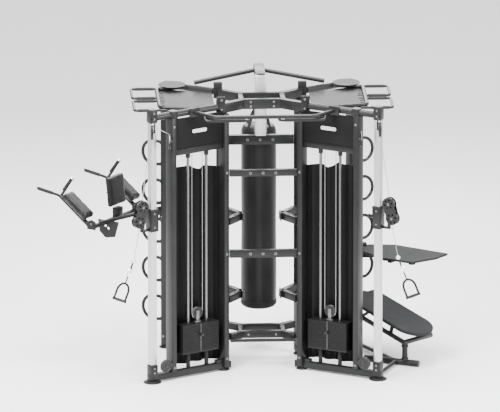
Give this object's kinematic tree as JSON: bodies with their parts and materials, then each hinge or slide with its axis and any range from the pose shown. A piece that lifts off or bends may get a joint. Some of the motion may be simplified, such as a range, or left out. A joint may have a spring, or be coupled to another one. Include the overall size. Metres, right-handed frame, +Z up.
{
  "type": "functional trainer",
  "caption": "Cable cross-over gym on crossed wings, with weight towers, sliding pulley carriages, pull-up bars, hanging bag, dip station and step bench.",
  "frame": {"origin": "centre of the whole object's box, on the floor", "axes": "+X to the right seen from the weight towers' front, +Y to the back, +Z up"},
  "size_m": [3.5802, 2.0071, 2.56],
  "materials": {
    "frame": "satin dark grey powder coat",
    "panel": "matt black sheet",
    "brushed": "brushed silver upright",
    "chrome": "polished",
    "iron": "black coated cast plates",
    "plastic": "black nylon",
    "cable": "coated wire rope",
    "vinyl": "black grained vinyl",
    "board": "dark grey board",
    "steel": "zinc-plated fasteners",
    "rubber": "black rubber grips and feet",
    "badge": null
  },
  "bodies": {
    "root": {"left_column": "brushed", "left_tower_base": "frame", "left_tower_arch": "frame", "left_header_panel": "panel", "left_shroud": "panel", "left_guide_rods": "chrome", "left_resting_plates": "iron", "left_stack_cable": "cable", "left_rear_wing": "frame", "left_ring_ladder": "frame", "left_carriage_cable": "cable", "left_side_frame": "frame", "right_column": "brushed", "right_tower_base": "frame", "right_tower_arch": "frame", "right_header_panel": "panel", "right_shroud": "panel", "right_guide_rods": "chrome", "right_resting_plates": "iron", "right_stack_cable": "cable", "right_rear_wing": "frame", "right_ring_ladder": "frame", "right_carriage_cable": "cable", "right_side_frame": "frame", "top_hub": "frame", "floor_hub": "frame", "mast_crossbeam": "frame", "upper_crossbeam": "frame", "middle_crossbeam": "frame", "front_pullup_bar": "frame", "dip_frame": "frame", "outer_arm_pad": "vinyl", "inner_arm_pad": "vinyl", "back_pad": "vinyl", "step_platform": "panel", "bench_board": "board", "bench_frame": "frame"},
    "left_carriage_body": {"left_carriage": "frame"},
    "left_pin_body": {"left_pop_pin": "plastic"},
    "left_head_body": {"left_swivel_head": "frame"},
    "left_handle_body": {"left_cable_end": "cable", "left_handle": "chrome"},
    "left_stack_body": {"left_lifted_plates": "iron"},
    "left_selector_body": {"left_selector_pin": "plastic"},
    "left_lift_pulley_body": {"left_lift_pulley": "plastic"},
    "left_top_pulley_body": {"left_top_pulley": "plastic"},
    "left_side_pulley_body": {"left_side_pulley": "plastic"},
    "left_base_pulley_body": {"left_base_pulley": "plastic"},
    "right_carriage_body": {"right_carriage": "frame"},
    "right_pin_body": {"right_pop_pin": "plastic"},
    "right_head_body": {"right_swivel_head": "frame"},
    "right_handle_body": {"right_cable_end": "cable", "right_handle": "chrome"},
    "right_stack_body": {"right_lifted_plates": "iron"},
    "right_selector_body": {"right_selector_pin": "plastic"},
    "right_lift_pulley_body": {"right_lift_pulley": "plastic"},
    "right_top_pulley_body": {"right_top_pulley": "plastic"},
    "right_side_pulley_body": {"right_side_pulley": "plastic"},
    "right_base_pulley_body": {"right_base_pulley": "plastic"},
    "bag_body": {"punching_bag": "vinyl"}
  },
  "joints": [
    {"name": "left_carriage_slide", "type": "slide", "parent": "root", "child": "left_carriage_body", "axis": [0, 0, 1], "range_m": [-0.72, 0.5], "deforming": ["left_carriage_cable"]},
    {"name": "left_pop_pin_pull", "type": "slide", "parent": "left_carriage_body", "child": "left_pin_body", "axis": [0.8599, 0.5105, 0], "range_m": [0, 0.012], "stiffness_N_per_m": 500},
    {"name": "left_head_swivel", "type": "hinge", "parent": "left_carriage_body", "child": "left_head_body", "pos_m": [-0.92057, -0.83776, 1.385], "axis": [0, 0, 1], "range_deg": [-60, 60]},
    {"name": "left_handle_swing", "type": "hinge", "parent": "left_head_body", "child": "left_handle_body", "pos_m": [-0.94207, -0.85052, 1.4065], "axis": [-0.5105, 0.8599, 0], "range_deg": [-15, 45]},
    {"name": "left_stack_lift", "type": "slide", "parent": "root", "child": "left_stack_body", "axis": [0, 0, 1], "range_m": [0, 1.25], "deforming": ["left_stack_cable"]},
    {"name": "left_selector_pull", "type": "slide", "parent": "left_stack_body", "child": "left_selector_body", "axis": [0.5105, -0.8599, 0], "range_m": [0, 0.09]},
    {"name": "left_lift_pulley_spin", "type": "hinge", "parent": "left_stack_body", "child": "left_lift_pulley_body", "pos_m": [-0.42868, -0.53407, 0.555], "axis": [0.5105, -0.8599, 0], "continuous": true},
    {"name": "left_top_pulley_spin", "type": "hinge", "parent": "root", "child": "left_top_pulley_body", "pos_m": [-0.83513, -0.90333, 2.27], "axis": [1, 0, 0], "continuous": true},
    {"name": "left_side_pulley_spin", "type": "hinge", "parent": "root", "child": "left_side_pulley_body", "pos_m": [-0.68001, -0.80809, 2.164], "axis": [1, 0, 0], "continuous": true},
    {"name": "left_base_pulley_spin", "type": "hinge", "parent": "root", "child": "left_base_pulley_body", "pos_m": [-0.71061, -0.78985, 0.148], "axis": [0.5105, -0.8599, 0], "continuous": true},
    {"name": "right_carriage_slide", "type": "slide", "parent": "root", "child": "right_carriage_body", "axis": [0, 0, 1], "range_m": [-0.72, 0.5], "deforming": ["right_carriage_cable"]},
    {"name": "right_pop_pin_pull", "type": "slide", "parent": "right_carriage_body", "child": "right_pin_body", "axis": [-0.8599, 0.5105, 0], "range_m": [0, 0.012], "stiffness_N_per_m": 500},
    {"name": "right_head_swivel", "type": "hinge", "parent": "right_carriage_body", "child": "right_head_body", "pos_m": [1.22117, -0.83776, 1.385], "axis": [0, 0, 1], "range_deg": [-60, 60]},
    {"name": "right_handle_swing", "type": "hinge", "parent": "right_head_body", "child": "right_handle_body", "pos_m": [1.24267, -0.85052, 1.4065], "axis": [-0.5105, -0.8599, 0], "range_deg": [-15, 45]},
    {"name": "right_stack_lift", "type": "slide", "parent": "root", "child": "right_stack_body", "axis": [0, 0, 1], "range_m": [0, 1.25], "deforming": ["right_stack_cable"]},
    {"name": "right_selector_pull", "type": "slide", "parent": "right_stack_body", "child": "right_selector_body", "axis": [-0.5105, -0.8599, 0], "range_m": [0, 0.09]},
    {"name": "right_lift_pulley_spin", "type": "hinge", "parent": "right_stack_body", "child": "right_lift_pulley_body", "pos_m": [0.72928, -0.53407, 0.555], "axis": [-0.5105, -0.8599, 0], "continuous": true},
    {"name": "right_top_pulley_spin", "type": "hinge", "parent": "root", "child": "right_top_pulley_body", "pos_m": [1.13573, -0.90333, 2.27], "axis": [1, 0, 0], "continuous": true},
    {"name": "right_side_pulley_spin", "type": "hinge", "parent": "root", "child": "right_side_pulley_body", "pos_m": [0.98061, -0.80809, 2.164], "axis": [1, 0, 0], "continuous": true},
    {"name": "right_base_pulley_spin", "type": "hinge", "parent": "root", "child": "right_base_pulley_body", "pos_m": [1.01121, -0.78985, 0.148], "axis": [-0.5105, -0.8599, 0], "continuous": true},
    {"name": "bag_swing", "type": "hinge", "parent": "root", "child": "bag_body", "pos_m": [0.1503, 0.2962, 2.475], "axis": [1, 0, 0], "range_deg": [-2, 25]}
  ],
  "couplings": [
    {"joint": "left_side_pulley_spin", "follows": "left_top_pulley_spin", "ratio": 1},
    {"joint": "right_side_pulley_spin", "follows": "right_top_pulley_spin", "ratio": 1}
  ]
}
